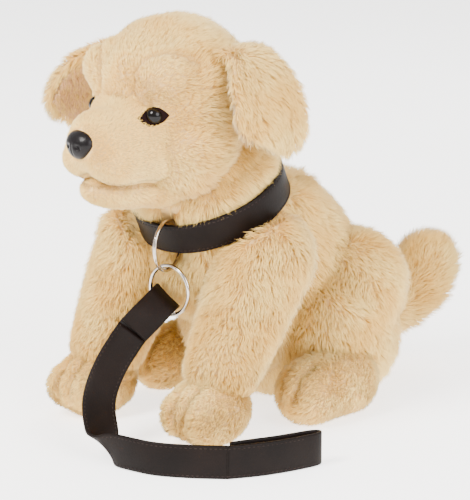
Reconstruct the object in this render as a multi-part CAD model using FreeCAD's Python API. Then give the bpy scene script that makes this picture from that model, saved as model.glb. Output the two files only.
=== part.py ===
"""A sitting plush dog with a leather collar and leash, as separate sewn, moulded and metal pieces.

Millimetres, +Z up. The dog looks along -Y and its own left side is +X. The origin is the middle
of the flat seat that it sits on. Soft pieces are the fabric backing and the filling under it: the
pile stands outside them.
"""
import FreeCAD, Part
import os
from math import cos, degrees, radians, sin, sqrt, tan

V = FreeCAD.Vector

# Fabric and clearances
PLUSH = 2.0            # thickness of the backed plush fabric
GAP = 0.4              # space between two soft pieces that are sewn together
FIT = 0.6              # space round a piece that turns

# Head
HEAD_CENTRE = V(0, -105, 205)
HEAD_YAW = -4.0        # the head looks a little to the dog's right
EYE_RADIUS = 5.4
EYE_AT = (28.0, -37.5, -5.5)
NOSE_AT = (0.0, -69.5, -22.0)
SHANK_RADIUS = 1.6
SHANK_LENGTH = 13.0
WASHER_RADIUS = 7.0
WASHER_THICKNESS = 1.2

# Ears: the hinge line runs fore and aft along each sewn root
EAR_ROOT_RADIUS = 4.0
EAR_ROOT_LENGTH = 34.0
EAR_ROOM = 3.8         # space round the root that lets the ear lift

# Collar
COLLAR_CENTRE = V(0, -73, 138)
COLLAR_LEAN = 24.0     # its axis leans this far forward
COLLAR_INNER = 46.2
COLLAR_THICKNESS = 2.4
STRAP_WIDTH = 20.0
NECK_RADIUS = 43.0
COLLAR_TURN = 12.0

# Rings
RING_RADIUS = 15.2     # to the middle of the wire
WIRE_RADIUS = 1.2
RING_YAW = 15.0
RING_POCKET_SHIFT = 5.0    # the collar's turn carries the ring towards +X
RING_POCKET_ROOM = 2.2
RING_POCKET_WIDTH = 20.0
RING_CENTRE = V(7, -116.5, 114.9)
LEASH_RING_CENTRE = V(8, -116.4, 87.2)
LEASH_RING_NORMAL = V(0.1, -0.995, 0.0)

# Leash: a flat strap, a loop round the ring, and a hand loop
STRAP_THICKNESS = 2.2
RING_LOOP_INNER = 6.0       # half the space inside the loop
STRAP_ROUTE = [        # (point, direction across the strap)
    ((0, -140, 64), (0.64, 0.43, -0.64)),
    ((1, -153, 53.5), (0.70, 0.45, -0.55)),
    ((2.5, -164, 42), (0.76, 0.50, -0.40)),
    ((6, -173, 31), (0.80, 0.55, -0.25)),
    ((13, -179.5, 23), (0.75, 0.62, -0.15)),
    ((22, -185, 16), (0.70, 0.70, -0.15)),
    ((29.5, -190.5, 9.5), (-0.05, 0.76, -0.65)),
    ((40, -192, 10.2), (0, 0, -1)),
    ((54, -191, 10.6), (0, 0, -1)),
    ((68, -187.5, 10.2), (0, 0, -1)),
    ((81, -180, 10.2), (0, 0, -1)),
    ((93, -171, 10.2), (0, 0, -1)),
    ((104, -161, 10.2), (0, 0, -1)),
]
HANDLE_ROUTE = [       # out along the near side, round the end and back
    (104.4, -160.5), (111, -149), (117, -134), (121, -119), (123.5, -106),
    (120.5, -101.5), (116.5, -106), (113, -119), (109, -132), (103, -145.5), (99.8, -155.5),
]
RING_LOOP_APEX = V(0, -118.4, 76.6)
LOOP_STITCH_GAP = 1.3       # from the strap's end to the loop's two ends


def unit(v):
    return V(v) * (1.0 / v.Length)


def limb(low, low_radius, high, high_radius, grow=0.0):
    """Two round ends and the cone that joins them smoothly, as one turned solid."""
    a, b = V(*low), V(*high)
    ra, rb, length = low_radius + grow, high_radius + grow, (b - a).Length
    lean = (ra - rb) / length
    out = sqrt(1 - lean * lean)
    start, end = V(0, 0, -ra), V(0, 0, length + rb)
    low_edge, high_edge = V(ra * out, 0, ra * lean), V(rb * out, 0, length + rb * lean)
    half = (lean - 1) / 2
    low_mid = V(ra * sqrt(1 - half * half), 0, ra * half)
    half = (lean + 1) / 2
    high_mid = V(rb * sqrt(1 - half * half), 0, length + rb * half)
    outline = Part.Wire([
        Part.Arc(start, low_mid, low_edge).toShape(),
        Part.LineSegment(low_edge, high_edge).toShape(),
        Part.Arc(high_edge, high_mid, end).toShape(),
        Part.LineSegment(end, start).toShape(),
    ])
    solid = Part.Face(outline).revolve(V(0, 0, 0), V(0, 0, 1), 360)
    solid.Placement = FreeCAD.Placement(a, FreeCAD.Rotation(V(0, 0, 1), b - a))
    return solid


def form(pieces, grow=0.0):
    """All the limbs of one soft form, grown by a distance and joined."""
    solids = [limb(*piece, grow) for piece in pieces]
    return solids[0].fuse(solids[1:]) if len(solids) > 1 else solids[0]


def above(solid, height):
    return solid.common(Part.makeBox(600, 600, 600, V(-300, -300, height)))


def largest(shape):
    return max(shape.Solids, key=lambda s: s.Volume)


def less(solid, cutters):
    """The largest piece left when each cutter is taken away in turn."""
    for cutter in cutters:
        solid = largest(solid.cut(cutter))
    return solid


def sewn(pieces, cutters=()):
    """The plush cover of a form and the filling inside it, flat where they rest on the floor."""
    inside = above(form(pieces, -PLUSH), PLUSH)
    cover = above(form(pieces), 0).cut(inside)
    filling = above(form(pieces, -PLUSH - GAP), PLUSH + GAP)
    return less(cover, list(cutters)), less(filling, list(cutters))


def in_head(shape):
    """Moves a shape from the head's own frame, whose -Y is the way it looks, to its place."""
    placed = shape.copy()
    placed.rotate(V(0, 0, 0), V(0, 0, 1), HEAD_YAW)
    placed.translate(HEAD_CENTRE)
    return placed


def disc(centre, normal, radius, thickness):
    way = unit(V(*normal))
    return Part.makeCylinder(radius, thickness, V(*centre) - way * (thickness / 2), way)


def ring(centre, normal, radius, wire):
    return Part.makeTorus(radius, wire, V(*centre), V(*normal))


# Collar frame ------------------------------------------------------------------------------------
LEAN = radians(COLLAR_LEAN)
COLLAR_AXIS = V(0, -sin(LEAN), cos(LEAN))
RING_NORMAL = V(cos(radians(RING_YAW)), sin(radians(RING_YAW)), 0)

TORSO = [              # each limb: low end, its radius, high end, its radius
    ((0, 2, 47.5), 50, (0, -14, 90), 46),
    ((0, -30, 106), 43.5, (0, -43, 125), 39.5),
    ((-12, -76, 99), 32, (12, -76, 100), 32.5),
]
BAG = ((-14, 4, 22), 16, (14, 4, 22), 16.5)
NECK_HALF = 14.0       # half the straight length under the collar
NECK_TAPER = 17.0      # length of the cone above it, into the head
NECK_TOP_RADIUS = 30.0


def neck(grow=0.0):
    radius, top = NECK_RADIUS + grow, NECK_TOP_RADIUS + grow
    foot = COLLAR_CENTRE - COLLAR_AXIS * (2 * NECK_HALF)
    shoulder = COLLAR_CENTRE + COLLAR_AXIS * NECK_HALF
    straight = Part.makeCylinder(radius, 3 * NECK_HALF, foot, COLLAR_AXIS)
    return straight.fuse(Part.makeCone(radius, top, NECK_TAPER + grow, shoulder, COLLAR_AXIS))


def torso_form(grow=0.0):
    return form(TORSO, grow).fuse(neck(grow))


def collar_channel():
    """The band of space that the collar holds the plush back from."""
    width = STRAP_WIDTH + 2.4
    foot = COLLAR_CENTRE - COLLAR_AXIS * (width / 2)
    outer = Part.makeCylinder(75, width, foot, COLLAR_AXIS)
    return outer.cut(Part.makeCylinder(NECK_RADIUS, width, foot, COLLAR_AXIS))


def ring_pocket():
    """Where the collar ring presses into the chest, at every place that the collar can turn to."""
    middle = RING_CENTRE + RING_NORMAL * RING_POCKET_SHIFT
    return disc(middle, RING_NORMAL, RING_RADIUS + WIRE_RADIUS + RING_POCKET_ROOM, RING_POCKET_WIDTH)


def torso(parts):
    cutters = [collar_channel(), ring_pocket(), tail_socket()]
    outer = above(torso_form(), 0)
    inside = above(torso_form(-PLUSH), PLUSH)
    bag = limb(*BAG)
    room = limb(*BAG, GAP)
    filling = above(torso_form(-PLUSH - GAP), PLUSH + GAP)
    parts["torso_plush"] = less(outer.cut(inside), cutters)
    parts["torso_stuffing"] = less(filling, cutters + [room])
    parts["seat_pellet_bag"] = bag


# Head --------------------------------------------------------------------------------------------
SKULL = [
    ((-6, 0, 2), 45, (6, 0, 2), 45.5),
    ((-22, -6, -24), 27, (22, -6, -24), 27.6),
]
MUZZLE = [((-4, -34, -27), 25, (0, -49, -27), 26.5), ((4, -33, -27), 25, (1, -49, -26), 26)]
CHIN = [((0, -22, -50), 15, (0, -50, -50), 14)]
SKULL_SEMIS = (51, 45, 46)


def eye_way(side):
    """The way that an eye looks: square to the skull there."""
    x, y, z = EYE_AT
    wide, deep, tall = SKULL_SEMIS
    return unit(V(side * x / wide**2, y / deep**2, z / tall**2))


def button(centre, way, radius, grow=0.0):
    """A moulded eye: a dome with its shank."""
    base = V(*centre) - way * 1.5
    shank = Part.makeCylinder(SHANK_RADIUS + grow, SHANK_LENGTH + grow, base, way * -1)
    return Part.makeSphere(radius + grow, base).fuse(shank)


def eye_rim(centre, way, grow=0.0):
    """A leather-look lid round the eye, drawn out to a corner at each side."""
    length, height, depth = 9.0 + grow, 6.6 + grow, 2.4 + 2 * grow
    lid = Part.Face(Part.Wire(Part.Ellipse(V(0, 0, 0), length, height).toShape())).extrude(V(0, 0, depth))
    across = unit(V(-way.y, way.x, 0))
    up = way.cross(across) * -1
    turn = FreeCAD.Rotation(across, up, across.cross(up), "ZXY")
    lid.Placement = FreeCAD.Placement(V(*centre) - across.cross(up) * (depth / 2), turn)
    return lid


def head(parts, torso_room):
    skull_room = in_head(form(SKULL, GAP))
    muzzle_room = in_head(form(MUZZLE, GAP))
    cutters = [torso_room, collar_channel()]
    rim_rooms = []
    for side, name in ((1, "left"), (-1, "right")):
        centre = V(side * EYE_AT[0], EYE_AT[1], EYE_AT[2])
        way = eye_way(side)
        eye = button(centre, way, EYE_RADIUS)
        room = button(centre, way, EYE_RADIUS, GAP)
        rim = eye_rim(centre, way).cut(room)
        washer_at = centre - way * 8.0
        washer = disc(washer_at, way, WASHER_RADIUS, WASHER_THICKNESS)
        washer = washer.cut(disc(washer_at, way, SHANK_RADIUS + 0.1, 9))
        washer_room = disc(washer_at, way, WASHER_RADIUS + GAP, WASHER_THICKNESS + 2 * GAP)
        parts["eye_" + name] = in_head(eye)
        parts["eye_rim_" + name] = in_head(largest(rim))
        parts["eye_washer_" + name] = in_head(washer)
        rim_rooms.append(in_head(eye_rim(centre, way, GAP)))
        cutters += [in_head(s) for s in (room, washer_room, ear_root(side, EAR_ROOM))]
    parts["nose"], nose_room, parts["nose_washer"], nose_washer_room = nose()
    cutters += [nose_room, nose_washer_room] + rim_rooms
    cover = in_head(form(SKULL)).cut(in_head(form(SKULL, -PLUSH)))
    filling = in_head(form(SKULL, -PLUSH - GAP))
    parts["head_plush"] = less(cover, cutters)
    parts["head_stuffing"] = less(filling, cutters)
    front = [skull_room, torso_room, collar_channel(), nose_room, nose_washer_room] + rim_rooms
    muzzle = in_head(form(MUZZLE))
    muzzle_inside = in_head(form(MUZZLE, -PLUSH))
    parts["muzzle_plush"] = less(muzzle.cut(muzzle_inside), front)
    parts["muzzle_stuffing"] = less(in_head(form(MUZZLE, -PLUSH - GAP)), front)
    parts["chin_plush"] = less(in_head(form(CHIN)), front + [muzzle_room])


def nose():
    """The moulded nose with its shank, and the washer that holds it from inside."""
    way = unit(V(0, -1, 0.25))
    centre = V(*NOSE_AT)
    ends = (centre - V(3, 0, 0), 7.6, centre + V(3, 0, 0), 7.7)
    solid = limb(*ends).fuse(Part.makeCylinder(SHANK_RADIUS, SHANK_LENGTH + 4, centre, way * -1))
    room = limb(*ends, GAP)
    room = room.fuse(Part.makeCylinder(SHANK_RADIUS + GAP, SHANK_LENGTH + 4 + GAP, centre, way * -1))
    at = centre - way * 11.0
    washer = disc(at, way, WASHER_RADIUS, WASHER_THICKNESS).cut(disc(at, way, SHANK_RADIUS + 0.1, 9))
    washer_room = disc(at, way, WASHER_RADIUS + GAP, WASHER_THICKNESS + 2 * GAP)
    return [in_head(s) for s in (solid, room, washer, washer_room)]


# Ears --------------------------------------------------------------------------------------------
EAR_LAYER = 5.0        # thickness of the outer layer with its filling
EAR_LINING = 2.4
EARS = {               # the line of each ear from its root out and down, seen from the front
    1: ((41.0, 26.0), (51.0, 28.0), (60.0, 21.0), (67.0, 3.0), (72.0, -26.0)),
    -1: ((-44.5, 22.0), (-58.0, 22.0), (-74.0, 13.0), (-85.0, -3.0), (-92.0, -26.0)),
}
EAR_REACH = 120.0      # further out than any ear
EAR_ARM_FOOT = 12.0    # the arm that joins a flap to its root is above this
EAR_BACK = {1: 14.0, -1: 8.0}      # how far behind the middle of the head the ears are
EAR_FLAP = {1: (17.0, 1.0, 26.0, 3.0), -1: (-2.0, 1.0, 26.0, 3.0)}   # y, z, end radius, half straight


def ear_root(side, grow=0.0):
    x, z = EARS[side][0]
    half = EAR_ROOT_LENGTH / 2 + grow
    at = V(x, EAR_BACK[side] - half, z)
    return Part.makeCylinder(EAR_ROOT_RADIUS + grow, 2 * half, at, V(0, 1, 0))


def layer(side, inner, outer):
    """One layer of an ear between two distances from its line, cut to the outline of the flap."""
    line = [V(x, 0, z) for x, z in EARS[side]]
    edges = ([], [])
    for i, place in enumerate(line):
        along = unit(line[min(i + 1, len(line) - 1)] - line[max(i - 1, 0)])
        away = V(-along.z, 0, along.x) * side
        for edge, distance in zip(edges, (inner, outer)):
            edge.append(place + away * distance)
    outline = edges[0] + edges[1][::-1]
    sheet = Part.Face(Part.makePolygon(outline + [outline[0]])).extrude(V(0, 80, 0))
    sheet.translate(V(0, EAR_BACK[side] - 40, 0))
    y, z, round_end, half_straight = EAR_FLAP[side]
    heights = (z - half_straight, z + half_straight)
    ends = [Part.makeCylinder(round_end, 2 * EAR_REACH, V(-EAR_REACH, y, at), V(1, 0, 0)) for at in heights]
    straight = Part.makeBox(2 * EAR_REACH, 2 * round_end, 2 * half_straight, V(-EAR_REACH, y - round_end, heights[0]))
    arm_corner = V(min(0, side * EAR_REACH), EAR_BACK[side] - EAR_ROOT_LENGTH / 2, EAR_ARM_FOOT)
    arm = Part.makeBox(EAR_REACH, EAR_ROOT_LENGTH, 60, arm_corner)
    return largest(sheet.common(ends[0].fuse([ends[1], straight, arm])))


def ears(parts):
    head_room = form(SKULL, GAP)
    for side, name in ((1, "left"), (-1, "right")):
        root = ear_root(side)
        outer = layer(side, -1.0, EAR_LAYER - 1.0).cut(head_room).fuse(root)
        lining = layer(side, -1.0 - GAP - EAR_LINING, -1.0 - GAP).cut([head_room, ear_root(side, GAP)])
        parts["ear_" + name + "_outer"] = in_head(largest(outer))
        parts["ear_" + name + "_lining"] = in_head(largest(lining))


# Limbs and tail ----------------------------------------------------------------------------------
FRONT_LEGS = {
    "left": ((47, -109, 44), 21, (44, -70, 106), 25),
    "right": ((-47, -117, 44), 21, (-44, -88, 104), 24),
}
FRONT_PAWS = {
    "left": ((46, -113, 20), 21, (46, -131, 18), 19.5),
    "right": ((-49, -120, 20), 21, (-50, -138, 18), 19.5),
}
THIGHS = {
    "left": ((39, -6, 52), 31, (37, 14, 74), 33),
    "right": ((-39, -8, 50), 31, (-37, 12, 72), 33),
}
HIND_FEET = {
    "left": ((58, -14, 21), 22, (60, -47, 18), 19.5),
    "right": ((-58, -27, 21), 22, (-60, -58, 18), 19.5),
}
TAIL_ROOT = (0, 46, 36)
TAIL_RADIUS = 14
TAIL = [
    (TAIL_ROOT, TAIL_RADIUS, (10, 92, 43), 14),
    ((10, 92, 43.5), 13.2, (21, 112, 71), 12),
]
TAIL_SWING = 25


def tail_socket():
    """Room for the tail at every place that it swings to: a cone from its round root."""
    root, along = V(*TAIL_ROOT), unit(V(*TAIL[0][2]) - V(*TAIL_ROOT))
    radius, reach = TAIL_RADIUS + FIT + 0.3, 40.0
    return limb(root, radius, root + along * reach, radius + reach * sin(radians(TAIL_SWING + 2)))


def legs(parts, torso_room):
    for name in ("left", "right"):
        upper, foot = [FRONT_LEGS[name]], [FRONT_PAWS[name]]
        haunch, hind = [THIGHS[name]], [HIND_FEET[name]]
        upper_room, haunch_room = form(upper, GAP), form(haunch, GAP)
        cuts = [torso_room, ring_pocket(), collar_channel()]
        for label, pieces, cutters in (
            ("front_leg_", upper, cuts),
            ("front_paw_", foot, [upper_room, torso_room]),
            ("thigh_", haunch, [torso_room, tail_socket()]),
            ("hind_foot_", hind, [torso_room, haunch_room, upper_room]),
        ):
            cover, filling = sewn(pieces, cutters)
            parts[label + name + "_plush"] = cover
            parts[label + name + "_stuffing"] = filling


def tail(parts):
    parts["tail_plush"], parts["tail_stuffing"] = sewn(TAIL)


# Collar, rings and leash -------------------------------------------------------------------------
def collar(parts):
    foot = COLLAR_CENTRE - COLLAR_AXIS * (STRAP_WIDTH / 2)
    outer = Part.makeCylinder(COLLAR_INNER + COLLAR_THICKNESS, STRAP_WIDTH, foot, COLLAR_AXIS)
    parts["collar_band"] = outer.cut(Part.makeCylinder(COLLAR_INNER, STRAP_WIDTH, foot, COLLAR_AXIS))
    parts["collar_ring"] = ring(RING_CENTRE, RING_NORMAL, RING_RADIUS, WIRE_RADIUS)
    parts["leash_ring"] = ring(LEASH_RING_CENTRE, LEASH_RING_NORMAL, RING_RADIUS, WIRE_RADIUS)


def smooth_path(points, label):
    """Straight runs joined by tangent arcs: stations (place, which point it is nearest to)."""
    stations, length = [(points[0], 0.0)], 0.0
    for i in range(1, len(points) - 1):
        before, after = points[i - 1] - points[i], points[i + 1] - points[i]
        short = min(before.Length, after.Length)
        turn = radians(180) - before.getAngle(after)
        radius = 0.45 * short / tan(turn / 2)
        print(label, "turn", round(degrees(turn), 1), "radius", round(radius, 1))
        back, on = unit(before), unit(after)
        start, end = points[i] + back * (0.45 * short), points[i] + on * (0.45 * short)
        centre = points[i] + unit(back + on) * (radius / cos(turn / 2))
        steps = max(2, int(degrees(turn) / 9))
        length += (start - stations[-1][0]).Length + radius * turn
        for k in range(steps + 1):
            chord = start + (end - start) * (k / steps)
            place = centre + unit(chord - centre) * radius
            stations.append((place, i - 0.45 + 0.9 * k / steps))
    stations.append((points[-1], len(points) - 1.0))
    length += (points[-1] - stations[-2][0]).Length
    return stations, length


def ribbon(points, acrosses, label, width=STRAP_WIDTH, thickness=STRAP_THICKNESS):
    """A flat strap along a path, as a closed solid of flat facets."""
    stations, length = smooth_path([V(*p) for p in points], label)
    acrosses = [V(*a) for a in acrosses]
    sections = []
    for k, (place, at) in enumerate(stations):
        ahead = stations[min(k + 1, len(stations) - 1)][0] - stations[max(k - 1, 0)][0]
        along = unit(ahead)
        low = min(int(at), len(acrosses) - 2)
        across = acrosses[low] * (1 - at + low) + acrosses[low + 1] * (at - low)
        across = unit(across - along * across.dot(along))
        face = along.cross(across)
        corners = ((-1, -1), (1, -1), (1, 1), (-1, 1))
        sections.append([place + across * (a * width / 2) + face * (b * thickness / 2) for a, b in corners])
    facets = [sections[0], sections[-1]]
    for first, second in zip(sections, sections[1:]):
        for c in range(4):
            d = (c + 1) % 4
            facets.append([first[c], first[d], second[d]])
            facets.append([first[c], second[d], second[c]])
    faces = [Part.Face(Part.makePolygon(f + [f[0]])) for f in facets]
    solid = Part.Solid(Part.Shell(faces))
    if solid.Volume < 0:
        solid.reverse()
    print(label, "length", round(length, 1), "volume", round(solid.Volume), "section x length",
          round(width * thickness * length), "valid", solid.isValid())
    return solid


def leash(parts):
    parts["leash_strap"] = ribbon([p for p, _ in STRAP_ROUTE], [a for _, a in STRAP_ROUTE], "strap")
    start = V(*STRAP_ROUTE[0][0])
    first, across = V(*STRAP_ROUTE[1][0]), unit(V(*STRAP_ROUTE[0][1]))
    along = unit(start - first)
    face = unit(along.cross(across))
    apex = RING_LOOP_APEX
    rise = unit(apex - start)
    out = unit(face - rise * face.dot(rise))
    reach = RING_LOOP_INNER + STRAP_THICKNESS / 2
    half = (apex - start) * 0.5
    down = rise * -1
    back_end = start - out * (STRAP_THICKNESS + 0.3)
    route = [
        start + rise * LOOP_STITCH_GAP,
        start + half * 0.6 + out * (reach * 0.55),
        apex + down * 6 + out * reach,
        apex + rise * 2.0 + out * reach,
        apex + rise * (reach + 1.5) + out * (reach * 0.15),
        apex + rise * (reach + 1.5) - out * (reach * 0.15),
        apex + rise * 2.0 - out * reach,
        apex + down * 6 - out * reach,
        start + half * 0.6 - out * (reach * 0.75),
        back_end + rise * LOOP_STITCH_GAP,
    ]
    tilt = unit(V(0.77, 0.2, -0.6))
    acrosses = [across, across, tilt, tilt, tilt, tilt, tilt, tilt, across, across]
    parts["leash_ring_loop"] = ribbon(route, acrosses, "ring loop")
    hand = [(x, y, STRAP_WIDTH / 2 + 0.2) for x, y in HANDLE_ROUTE]
    parts["leash_handle"] = ribbon(hand, [(0, 0, -1)] * len(hand), "hand loop")


def build():
    parts = {}
    torso_room = torso_form(GAP)
    torso(parts)
    head(parts, torso_room)
    ears(parts)
    legs(parts, torso_room)
    tail(parts)
    collar(parts)
    leash(parts)
    return parts


os.makedirs("parts", exist_ok=True)
for node, shape in build().items():
    if not shape.isValid():
        print("not valid:", node)
    print(node, "solids", len(shape.Solids), "volume", round(shape.Volume))
    shape.exportStep("parts/" + node + ".step")
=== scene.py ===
import math

import bmesh
import bpy
import numpy as np
from mathutils import Matrix, Vector
from mathutils.bvhtree import BVHTree
from mathutils.kdtree import KDTree


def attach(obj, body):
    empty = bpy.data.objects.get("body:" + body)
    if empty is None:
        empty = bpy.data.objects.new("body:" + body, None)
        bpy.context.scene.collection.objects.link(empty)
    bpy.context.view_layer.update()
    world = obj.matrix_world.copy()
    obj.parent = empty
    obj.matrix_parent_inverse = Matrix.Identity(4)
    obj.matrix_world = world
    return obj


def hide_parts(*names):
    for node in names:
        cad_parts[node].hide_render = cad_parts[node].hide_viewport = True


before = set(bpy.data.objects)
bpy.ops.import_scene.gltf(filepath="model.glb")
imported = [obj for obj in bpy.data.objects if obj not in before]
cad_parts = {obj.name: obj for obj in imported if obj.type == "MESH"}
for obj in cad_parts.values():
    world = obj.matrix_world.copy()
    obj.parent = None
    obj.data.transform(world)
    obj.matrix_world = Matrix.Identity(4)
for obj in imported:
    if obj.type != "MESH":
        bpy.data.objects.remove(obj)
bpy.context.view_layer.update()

MM = 0.001

# The camera, worked out from the photo
CAMERA_AZIMUTH = math.radians(45.0)
CAMERA_ELEVATION = math.radians(13.0)
CAMERA_AIM = Vector((0.0053, -0.0573, 0.1021))
CAMERA_DISTANCE = 1.4
CAMERA_LENS = 161.0

# Head frame, as in the CAD: its own -Y is the way that the head looks
HEAD_CENTRE = np.array([0.0, -105.0, 205.0])
HEAD_YAW = math.radians(-4.0)
COLLAR_CENTRE = np.array([0.0, -73.0, 138.0])
COLLAR_LEAN = math.radians(24.0)
COLLAR_AXIS = np.array([0.0, -math.sin(COLLAR_LEAN), math.cos(COLLAR_LEAN)])
STRAP_WIDTH = 20.0
STRAP_THICKNESS = 2.2


# Camera ------------
def make_camera():
    flat = math.cos(CAMERA_ELEVATION)
    high = math.sin(CAMERA_ELEVATION)
    way = Vector((math.sin(CAMERA_AZIMUTH) * flat, -math.cos(CAMERA_AZIMUTH) * flat, high))
    data = bpy.data.cameras.new("camera")
    data.lens = CAMERA_LENS
    data.sensor_width = 36.0
    camera = bpy.data.objects.new("camera", data)
    bpy.context.collection.objects.link(camera)
    camera.location = CAMERA_AIM + way * CAMERA_DISTANCE
    camera.rotation_euler = (-way).to_track_quat("-Z", "Y").to_euler()
    bpy.context.scene.camera = camera


# Small helpers ------------
def unit(v):
    v = np.asarray(v, dtype=float)
    return v / np.maximum(np.linalg.norm(v, axis=-1, keepdims=True), 1e-9)


def in_head(p):
    """Points of the head's own frame, in mm, put where the head is."""
    p = np.asarray(p, dtype=float)
    c, s = math.cos(HEAD_YAW), math.sin(HEAD_YAW)
    turned = np.stack([p[..., 0] * c - p[..., 1] * s, p[..., 0] * s + p[..., 1] * c, p[..., 2]], axis=-1)
    return turned + HEAD_CENTRE


def to_head(p):
    """The inverse of in_head."""
    p = np.asarray(p, dtype=float) - HEAD_CENTRE
    c, s = math.cos(HEAD_YAW), math.sin(HEAD_YAW)
    return np.stack([p[..., 0] * c + p[..., 1] * s, -p[..., 0] * s + p[..., 1] * c, p[..., 2]], axis=-1)


def add_object(name, mesh):
    obj = bpy.data.objects.new(name, mesh)
    bpy.context.collection.objects.link(obj)
    return obj


def mesh_from(name, points, faces):
    """An object from points in mm and a list of faces."""
    mesh = bpy.data.meshes.new(name)
    mesh.from_pydata([tuple(np.asarray(p) * MM) for p in points], [], [tuple(f) for f in faces])
    mesh.update()
    mesh.shade_smooth()
    return add_object(name, mesh)


def grid_faces(rows, columns, ring_rows=False, ring_columns=False):
    """Four-sided faces between the points of a grid, which may close on itself either way."""
    faces = []
    for i in range(rows if ring_rows else rows - 1):
        for k in range(columns if ring_columns else columns - 1):
            after, beside = (i + 1) % rows * columns, (k + 1) % columns
            faces.append((i * columns + k, i * columns + beside, after + beside, after + k))
    return faces


def read(mesh, what):
    """Vertex positions or normals as an array of rows."""
    values = np.empty(len(mesh.vertices) * 3, dtype=np.float32)
    mesh.vertices.foreach_get(what, values)
    return values.reshape(-1, 3).astype(float)


def write(mesh, points):
    mesh.vertices.foreach_set("co", points.astype(np.float32).ravel())
    mesh.update()


def settle(obj):
    """Turns the modifiers of an object into its own mesh."""
    graph = bpy.context.evaluated_depsgraph_get()
    mesh = bpy.data.meshes.new_from_object(obj.evaluated_get(graph))
    obj.modifiers.clear()
    mesh.name = obj.name
    obj.data = mesh
    mesh.shade_smooth()


WAVE_COUNT = 6
WAVE_SUM = 3.2      # about the most that the waves add up to


def waves(points, size, seed):
    """Smooth noise from -1 to 1 at points in mm: a few crossed waves of about one size."""
    rng = np.random.default_rng(seed)
    total = np.zeros(len(points))
    for _ in range(WAVE_COUNT):
        way = unit(rng.normal(size=3)) * (2 * math.pi / size) * rng.uniform(0.7, 1.4)
        total += np.sin(points @ way + rng.uniform(0, 6.28))
    return total / WAVE_SUM


def line_distance(points, line):
    """Distance of each point from a broken line, in mm."""
    best = np.full(len(points), 1e9)
    line = np.asarray(line, dtype=float)
    for a, b in zip(line, line[1:]):
        span = b - a
        t = np.clip((points - a) @ span / (span @ span), 0, 1)
        best = np.minimum(best, np.linalg.norm(points - (a + t[:, None] * span), axis=1))
    return best


# Materials ------------
def new_material(name, roughness, specular=0.5):
    material = bpy.data.materials.new(name)
    material.use_nodes = True
    shader = material.node_tree.nodes["Principled BSDF"]
    shader.inputs["Roughness"].default_value = roughness
    shader.inputs["Specular IOR Level"].default_value = specular
    return material, material.node_tree, shader


def ramp(tree, source, stops):
    node = tree.nodes.new("ShaderNodeValToRGB")
    ends = node.color_ramp.elements
    ends[0].position, ends[0].color = stops[0][0], (*stops[0][1], 1)
    ends[1].position, ends[1].color = stops[-1][0], (*stops[-1][1], 1)
    for place, colour in stops[1:-1]:
        ends.new(place).color = (*colour, 1)
    tree.links.new(source, node.inputs["Fac"])
    return node.outputs["Color"]


def noise(tree, scale, detail=2.0):
    where = tree.nodes.new("ShaderNodeTexCoord")
    node = tree.nodes.new("ShaderNodeTexNoise")
    node.inputs["Scale"].default_value = scale
    node.inputs["Detail"].default_value = detail
    tree.links.new(where.outputs["Object"], node.inputs["Vector"])
    return node.outputs["Fac"]


def mix(tree, factor, first, second, mode="MIX"):
    node = tree.nodes.new("ShaderNodeMix")
    node.data_type = "RGBA"
    node.blend_type = mode
    for socket, value in ((node.inputs[0], factor), (node.inputs[6], first), (node.inputs[7], second)):
        if isinstance(value, bpy.types.NodeSocket):
            tree.links.new(value, socket)
        elif isinstance(value, tuple):
            socket.default_value = (*value, 1)
        else:
            socket.default_value = value
    return node.outputs[2]


def bump(tree, shader, height, strength, distance):
    node = tree.nodes.new("ShaderNodeBump")
    node.inputs["Strength"].default_value = strength
    node.inputs["Distance"].default_value = distance
    tree.links.new(height, node.inputs["Height"])
    tree.links.new(node.outputs["Normal"], shader.inputs["Normal"])


def pile_material(name, root, tip, shade):
    """Pile: darker at the root, a painted shade deep in the pile, pale at the tip, with soft patches, a
    random tint per strand and painted shade mixed in along seams.
    """
    material, tree, shader = new_material(name, 0.85, 0.15)
    shader.inputs["Sheen Weight"].default_value = 0.25
    attribute = tree.nodes.new("ShaderNodeVertexColor")
    attribute.layer_name = "pile"
    parts = tree.nodes.new("ShaderNodeSeparateColor")
    tree.links.new(attribute.outputs["Color"], parts.inputs["Color"])
    # The ramp darkens each strand towards its root: painted shade deep in the pile.
    along = ramp(tree, parts.outputs["Red"], [(0.0, root), (0.75, tip)])
    tint = ramp(tree, parts.outputs["Green"], [(0.0, (0.90, 0.86, 0.80)), (1.0, (1.0, 1.0, 1.0))])
    varied = mix(tree, 1.0, along, tint, "MULTIPLY")
    patches = ramp(tree, noise(tree, 28.0), [(0.40, (0.93, 0.82, 0.64)), (0.60, (1.0, 1.0, 1.0))])
    patched = mix(tree, 1.0, varied, patches, "MULTIPLY")
    # The shade colour is painted shade, mixed in by the blue channel along seams.
    tree.links.new(mix(tree, parts.outputs["Blue"], patched, shade), shader.inputs["Base Color"])
    return material


def backing_material(name, colour, dark):
    """The woven ground that the pile stands on, dark tan like the pile's roots: painted shade seen
    between the strands.
    """
    material, tree, shader = new_material(name, 0.9, 0.1)
    threads = ramp(tree, noise(tree, 220.0, 4.0), [(0.3, dark), (0.7, colour)])
    tree.links.new(threads, shader.inputs["Base Color"])
    return material


def leather_material(name, dark, light, roughness, grain, shine):
    """Leather: uneven dye and a fine grain of cells."""
    material, tree, shader = new_material(name, roughness, shine)
    dye = ramp(tree, noise(tree, 40.0, 5.0), [(0.3, dark), (0.75, light)])
    tree.links.new(dye, shader.inputs["Base Color"])
    where = tree.nodes.new("ShaderNodeTexCoord")
    cells = tree.nodes.new("ShaderNodeTexVoronoi")
    cells.inputs["Scale"].default_value = grain
    tree.links.new(where.outputs["Object"], cells.inputs["Vector"])
    bump(tree, shader, cells.outputs["Distance"], 0.25, 0.0002)
    return material


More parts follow.
